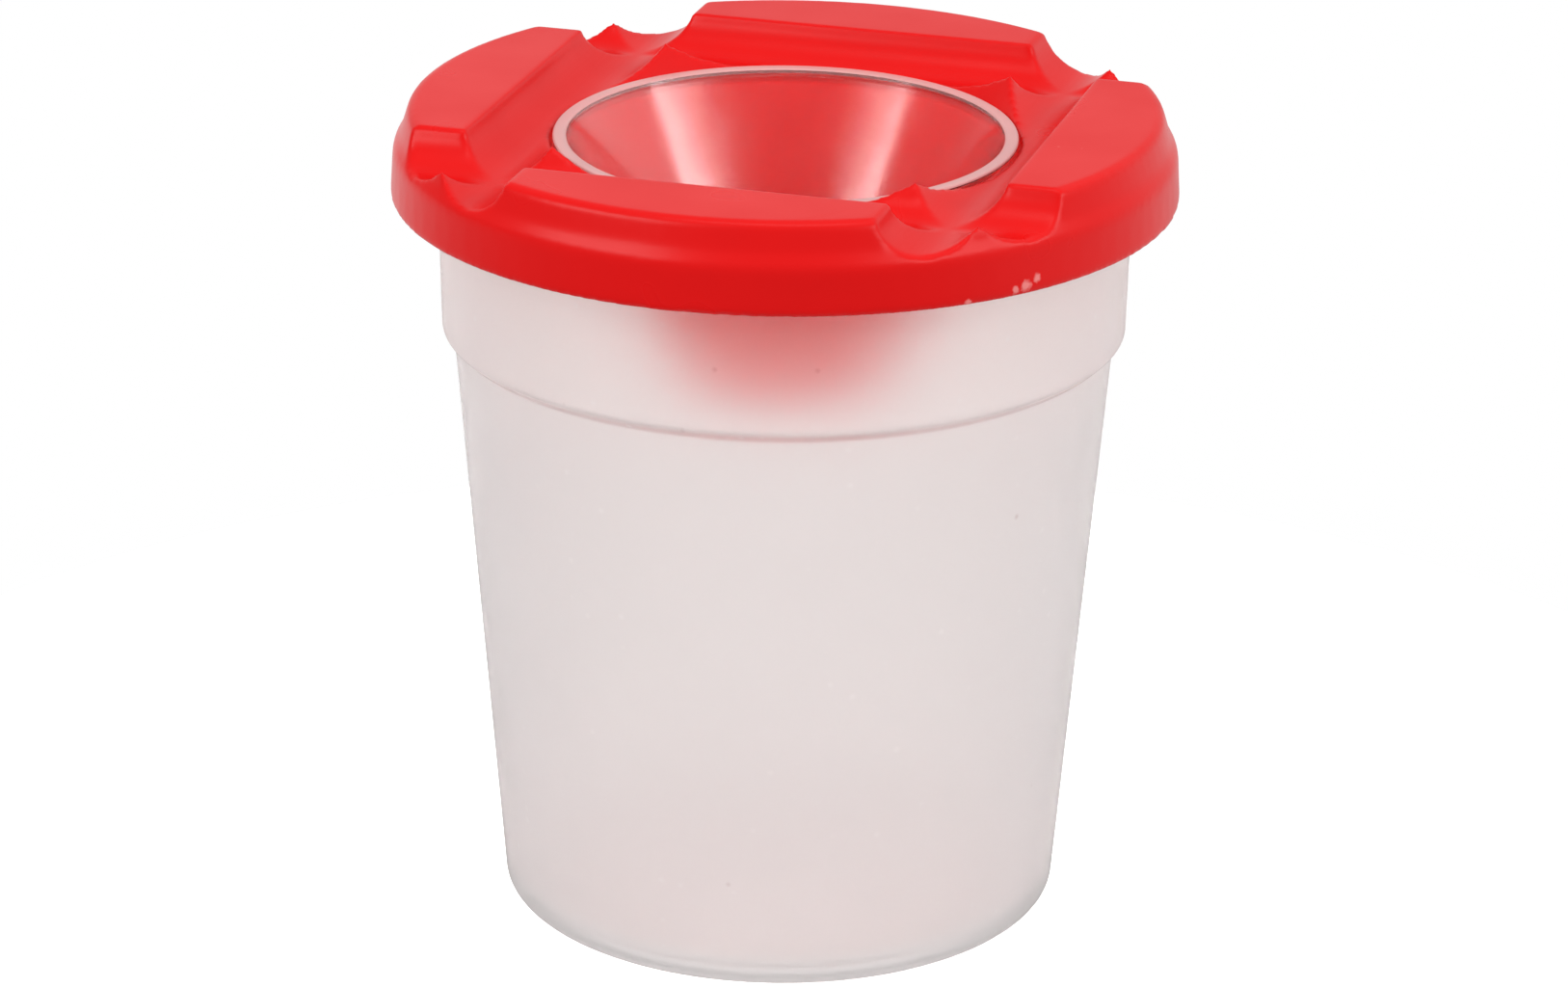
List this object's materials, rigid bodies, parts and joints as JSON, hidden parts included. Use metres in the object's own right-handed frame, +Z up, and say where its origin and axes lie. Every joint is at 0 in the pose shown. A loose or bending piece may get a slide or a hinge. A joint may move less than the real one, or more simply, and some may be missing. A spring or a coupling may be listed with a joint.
{
  "type": "paint cup with lid",
  "caption": "Round frosted paint cup with a collar, a red push-on lid with crossing brush-rest channels and a hanging cone, and a hollow translucent stopper that closes the cone.",
  "frame": {"origin": "centre of the base, on the surface that the cup stands on", "axes": "+Z up along the cup's axis; +X and +Y along the lid's channels, with the flat segments centred on them"},
  "size_m": [0.0806, 0.0806, 0.0858],
  "materials": {
    "frosted_plastic": "frosted translucent, fine moulding specks",
    "red_plastic": "satin, opaque",
    "clear_plastic": "glossy, translucent"
  },
  "bodies": {
    "cup": {"cup": "frosted_plastic"},
    "lid": {"lid": "red_plastic"},
    "stopper": {"stopper": "clear_plastic"}
  },
  "joints": [
    {"name": "lid_lift", "type": "slide", "parent": "cup", "child": "lid", "axis": [0, 0, 1], "range_m": [0, 0.035]},
    {"name": "stopper_lift", "type": "slide", "parent": "lid", "child": "stopper", "axis": [0, 0, 1], "range_m": [0, 0.03]}
  ]
}
